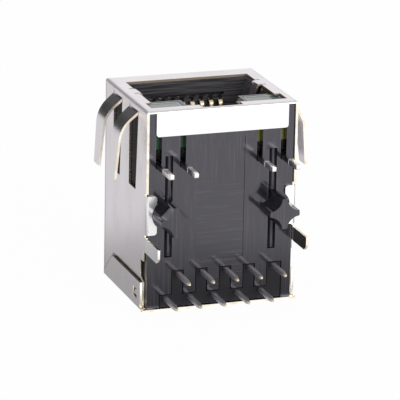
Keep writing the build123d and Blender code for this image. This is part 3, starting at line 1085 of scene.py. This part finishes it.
@dataclass
class Pins:
    """The ten square signal pins, in two staggered rows."""

    count: int = 5
    rows: int = 2
    point: float = 0.0008
    point_share: float = 0.56
    crop: float = 0.00005
    crop_share: float = 0.42
    shaft_above_tip: float = 0.0016
    bright_above_tip: Span = (0.0004, 0.0002)

    def build(self) -> bpy.types.Object:
        """Sweep one pin and repeat it at the places of the nodes.

        Returns:
            The pins.
        """
        first, second, behind = (self._axis(index) for index in (1, 2, self.count + 1))
        low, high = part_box("signal_pin_1")
        stages = (
            (high.y, 1.0),
            (low.y + self.point, 1.0),
            (low.y + self.crop, self.point_share),
            (low.y, self.crop_share),
        )
        finish = TinnedPin(
            "signal_pin_tin",
            # painted shade: the root next to the housing is darker
            root=(0.30, 0.29, 0.31),
            shaft=(0.60, 0.58, 0.61),
            tip=(1.0, 0.91, 0.72),
            shaft_span=(high.y, low.y + self.shaft_above_tip),
            tip_span=tuple(low.y + above for above in self.bright_above_tip),
            roughness=0.42,
        )
        piece = WireRows(
            name="square_signal_pins",
            corners=tuple(((first.x, y, first.z), share) for y, share in stages),
            width=high.x - low.x,
            height=high.z - low.z,
            bend=0.0,
            count=self.count,
            pitch=tuple(second - first),
            material=finish.material(),
            rows=self.rows,
            row_pitch=tuple(behind - first),
        ).build()
        names = [f"signal_pin_{i + 1}" for i in range(self.count * self.rows)]
        return mounted(piece, names)

    @staticmethod
    def _axis(index: int) -> Vector:
        """Find the middle of one pin's node."""
        low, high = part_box(f"signal_pin_{index}")
        return (low + high) / 2


@dataclass
class Leads:
    """The bent leads of one lamp."""

    side: Side
    first: int
    size: float = 0.0005
    bend: float = 0.00035
    collar_above_tip: float = 0.00225
    collar_length: float = 0.0002
    collar_flank: float = 0.00004
    collar_share: float = 1.14
    crop: float = 0.0002
    crop_share: float = 0.82
    tip_share: float = 0.44
    shade_above_collar: float = 0.0006
    bright_above_tip: Span = (0.0009, 0.0005)

    def build(self) -> bpy.types.Object:
        """Sweep one lead with its collar and repeat it for the second.

        Returns:
            The two leads.
        """
        names = [f"lamp_lead_{self.first}", f"lamp_lead_{self.first + 1}"]
        low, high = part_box(names[0])
        next_low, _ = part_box(names[1])
        collar = high.x - low.x
        middle = (low.x + high.x) / 2
        row = low.z + collar / 2
        collar_middle = low.y + self.collar_above_tip
        upper = collar_middle + self.collar_length / 2
        lower = collar_middle - self.collar_length / 2
        stages = (
            (high.y - self.size / 2, 1.0),
            (upper + self.collar_flank, 1.0),
            (upper, self.collar_share),
            (lower, self.collar_share),
            (lower - self.collar_flank, 1.0),
            (low.y + self.crop, 1.0),
            (low.y + self.crop / 3, self.crop_share),
            (low.y, self.tip_share),
        )
        start = ((middle, high.y - self.size / 2, high.z), 1.0)
        finish = TinnedPin(
            f"lamp_lead_tin_{self.side.value}",
            # painted shade: the root in the lamp's channel is darker
            root=(0.13, 0.125, 0.13),
            shaft=(0.66, 0.64, 0.65),
            tip=(1.0, 0.98, 0.95),
            shaft_span=(upper + self.shade_above_collar, lower),
            tip_span=tuple(low.y + above for above in self.bright_above_tip),
            roughness=0.2,
        )
        piece = WireRows(
            name=f"lamp_leads_{self.side.value}",
            corners=(start, *(((middle, y, row), share) for y, share in stages)),
            width=self.size,
            height=self.size,
            bend=self.bend,
            count=len(names),
            pitch=(next_low.x - low.x, 0.0, 0.0),
            material=finish.material(),
        ).build()
        return mounted(piece, names)


@dataclass
class Contacts:
    """The eight gold contacts, each folded back under its own front end."""

    count: int = 8
    thickness: float = 0.0003
    edge_radius: float = 0.00006
    turn: float = 0.00095
    bend: float = 0.00042

    def build(self) -> bpy.types.Object:
        """Sweep one contact and repeat it at the pitch of the nodes.

        Returns:
            The contacts.
        """
        names = [f"contact_{i + 1}" for i in range(self.count)]
        low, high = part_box(names[0])
        next_low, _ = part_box(names[1])
        middle = (low.x + high.x) / 2
        row = high.y - self.thickness / 2
        front = high.z - self.thickness / 2
        tip = self._tip(names[0])
        path = (
            (middle, row, low.z),
            (middle, row, front),
            (middle, row - self.turn, front),
            (middle, tip.y, tip.z),
        )
        piece = WireRows(
            name="gold_contacts",
            corners=tuple((corner, 1.0) for corner in path),
            width=high.x - low.x,
            height=self.thickness,
            bend=self.bend,
            edge_radius=self.edge_radius,
            count=self.count,
            pitch=(next_low.x - low.x, 0.0, 0.0),
            material=GoldContact().material(),
        ).build()
        return mounted(piece, names)

    def _tip(self, node: str) -> Vector:
        """Find the middle of the end face of a contact's free end.

        Args:
            node: the contact's node.

        Returns:
            The middle.
        """
        corners = [vertex.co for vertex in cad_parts[node].data.vertices]
        lowest = min(corner.y for corner in corners)
        end = [corner for corner in corners if corner.y < lowest + self.thickness]
        return sum(end, Vector()) / len(end)


@dataclass
class Chamber:
    """What the chamber behind the port holds: board, blocks, coils and chips."""

    coils: int = 8
    resistors: int = 4
    ferrite: Speckled = Speckled("ferrite", (0.05, 0.05, 0.055), (0.11, 0.11, 0.12), 0.0, 0.55)
    wire: Speckled = Speckled("enamelled_wire", (0.62, 0.22, 0.08), (0.78, 0.36, 0.16), 0.9, 0.28)
    chip: Speckled = Speckled("chip_ceramic", (0.09, 0.08, 0.075), (0.3, 0.27, 0.22), 0.0, 0.5)

    def dress(self) -> None:
        """Give each inner node its finish."""
        self._paint(["pin_base", "contact_carrier"], InnerMoulding().material())
        self._paint(["circuit_board"], SolderMask().material())
        self._paint(self._row("coil_core", self.coils), self.ferrite.material())
        self._paint(self._row("coil_winding", self.coils), self.wire.material())
        chips = [*self._row("resistor", self.resistors), "surge_capacitor"]
        self._paint(chips, self.chip.material())

    @staticmethod
    def _row(name: str, count: int) -> list[str]:
        """Number the nodes of one kind from 1."""
        return [f"{name}_{i + 1}" for i in range(count)]

    @staticmethod
    def _paint(nodes: Sequence[str], material: bpy.types.Material) -> None:
        """Give CAD nodes one material.

        Args:
            nodes: the nodes' names.
            material: what each gets in place of its own.
        """
        for name in nodes:
            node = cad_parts[name]
            node.data.materials.clear()
            node.data.materials.append(material)
        log.info("%s on %s", material.name, ", ".join(nodes))


@dataclass(frozen=True)
class SoftLamp:
    """One square soft lamp that faces the object; a radiance of 1 is white."""

    name: str
    towards: Point
    size: float
    radiance: float
    distance: float = 0.5

    def build(self) -> bpy.types.Object:
        """Hang the lamp.

        Returns:
            The lamp.
        """
        data = bpy.data.lights.new(self.name, "AREA")
        data.shape = "SQUARE"
        data.size = self.size
        data.energy = self.radiance * math.pi * self.size * self.size
        lamp = bpy.data.objects.new(self.name, data)
        direction = Vector(self.towards).normalized()
        lamp.location = direction * self.distance
        lamp.rotation_euler = direction.to_track_quat("Z", "Y").to_euler()
        bpy.context.scene.collection.objects.link(lamp)
        return lamp


@dataclass(frozen=True)
class Studio:
    """Pale floor, soft lamps and the room round the object."""

    floor_half: float = 3.0
    floor_colour: Colour = (0.86, 0.86, 0.865)
    floor_roughness: float = 0.9
    seen_share: float = 0.97
    mirrored_share: float = 0.85
    glow_before: float = 1.22
    glow_far_behind: float = 0.72
    glow_close_behind: float = 0.38
    foot: Band = ((-0.0062, -0.0067), (-0.0082, -0.0076))
    before_span: Span = (-0.009, -0.031)
    left_share: float = 0.75
    right_span: Span = (0.001, 0.011)
    close_span: Span = (0.028, 0.008)
    room: float = 0.66
    dark_corner: float = 0.04
    dark_towards: Point = (-0.55, 0.78, 0.33)
    dark_span: Span = (0.84, 0.92)
    lamps: tuple[SoftLamp, ...] = (
        SoftLamp("soft_right_rear", towards=(0.33, 0.90, 0.42), size=0.34, radiance=0.22),
        SoftLamp("soft_left", towards=(-0.9, -0.3, 0.7), size=0.3, radiance=0.7),
        SoftLamp("soft_front", towards=(0.33, -0.9, 0.36), size=0.3, radiance=3.2),
    )

    def build(self) -> None:
        """Make the floor, the room and the lamps."""
        self._floor()
        self._room()
        for lamp in self.lamps:
            lamp.build()

    def _floor(self) -> None:
        """Make a wide pale floor that reads as white and keeps the shadow."""
        bm = bmesh.new()
        bmesh.ops.create_grid(bm, x_segments=1, y_segments=1, size=self.floor_half)
        floor = piece_from(bm, "floor")
        shader = Shader("pale_floor")
        shader.dress({
            "Base Color": self.floor_colour,
            "Roughness": self.floor_roughness,
            "Specular IOR Level": 0.0,
        })
        seen = shader.value("ShaderNodeLightPath", output="Is Camera Ray")
        mirrored = shader.value("ShaderNodeLightPath", output="Is Glossy Ray")
        strength = seen + mirrored * self._mirrored_glow(shader)
        glow = shader.node("ShaderNodeEmission", inputs={"Color": WHITE, "Strength": strength})
        share = seen * self.seen_share + mirrored * self.mirrored_share
        floor.data.materials.append(shader.overlaid(share, glow))

    def _mirrored_glow(self, shader: Shader) -> Value:
        """Say how bright metal mirrors the floor.

        It is painted light and shade, seen only in reflections: brightest before the object,
        where the light falls, and in a strip at its foot, and darkest close behind the object, as
        a painted shadow.

        Args:
            shader: the graph of the floor's material.

        Returns:
            The brightness, where 1 is white.
        """
        sideways = self.left_share + (1.0 - self.left_share) * shader.x.between(*self.right_span)
        before = shader.y.between(*self.before_span) * sideways + shader.y.within(*self.foot)
        close = shader.y.between(*self.close_span)
        behind = self.glow_far_behind - (self.glow_far_behind - self.glow_close_behind) * close
        return behind * (1.0 - before) + self.glow_before * before

    def _room(self) -> None:
        """Make a pale room, with one dark corner behind the left side, white for the camera."""
        world = bpy.data.worlds.new("room")
        world.use_nodes = True
        bpy.context.scene.world = world
        graph = Graph(world.node_tree)
        background = world.node_tree.nodes["Background"]
        towards = graph.node("ShaderNodeTexCoord").outputs["Generated"]
        near = graph.value(
            "ShaderNodeVectorMath",
            {"operation": "DOT_PRODUCT"},
            {0: towards, 1: tuple(Vector(self.dark_towards).normalized())},
            output="Value",
        )
        dark = near.between(*self.dark_span)
        seen = graph.value("ShaderNodeLightPath", output="Is Camera Ray")
        pale = self.room * (1.0 - dark) + self.dark_corner * dark
        graph.feed(background.inputs["Color"], WHITE)
        graph.feed(background.inputs["Strength"], pale * (1.0 - seen) + seen)


@dataclass(frozen=True)
class Viewpoint:
    """The camera, placed as the photograph was taken; its angles are in degrees."""

    azimuth: float = -19.482
    elevation: float = 17.074
    roll: float = 1.103
    distance: float = 0.317035
    target: Point = (0.0, 0.0, 0.010)
    across: float = 0.000087
    up: float = -0.000794
    focal_pixels: float = 3106.0
    image_pixels: float = 400.0
    sensor: float = 36.0
    nearest: float = 0.01

    def build(self) -> bpy.types.Object:
        """Make the camera and set it as the scene's own.

        Returns:
            The camera.
        """
        angles = (self.azimuth, self.elevation, self.roll)
        azimuth, elevation, roll = (math.radians(angle) for angle in angles)
        back = Vector((
            math.sin(azimuth) * math.cos(elevation),
            -math.cos(azimuth) * math.cos(elevation),
            math.sin(elevation),
        ))
        level = Vector((math.cos(azimuth), math.sin(azimuth), 0.0))
        upright = back.cross(level)
        right = level * math.cos(roll) + upright * math.sin(roll)
        up = upright * math.cos(roll) - level * math.sin(roll)
        data = bpy.data.cameras.new("camera")
        data.sensor_width = self.sensor
        data.lens = self.focal_pixels * self.sensor / self.image_pixels
        data.clip_start = self.nearest
        camera = bpy.data.objects.new("camera", data)
        camera.rotation_euler = Matrix((right, up, back)).transposed().to_euler()
        centre = Vector(self.target) + right * self.across + up * self.up
        camera.location = centre + back * self.distance
        bpy.context.scene.collection.objects.link(camera)
        bpy.context.scene.camera = camera
        return camera


def main() -> None:
    """Build the part's looks in order, then the studio and the camera."""
    logging.basicConfig(level=logging.INFO, format="%(name)s: %(message)s")
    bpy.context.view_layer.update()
    steps: list[Callable[[], object]] = [
        Viewpoint().build,
        Shield().build,
        Housing().build,
        Lamp(Side.LEFT, tint=(0.05, 0.24, 0.09)).build,
        Lamp(Side.RIGHT, tint=(0.50, 0.50, 0.08)).build,
        Leads(Side.LEFT, first=1).build,
        Leads(Side.RIGHT, first=3).build,
        Pins().build,
        Contacts().build,
        Chamber().dress,
        Studio().build,
    ]
    for step in steps:
        step()
    bpy.context.scene.view_settings.view_transform = "Standard"


if __name__ == "__main__":
    main()
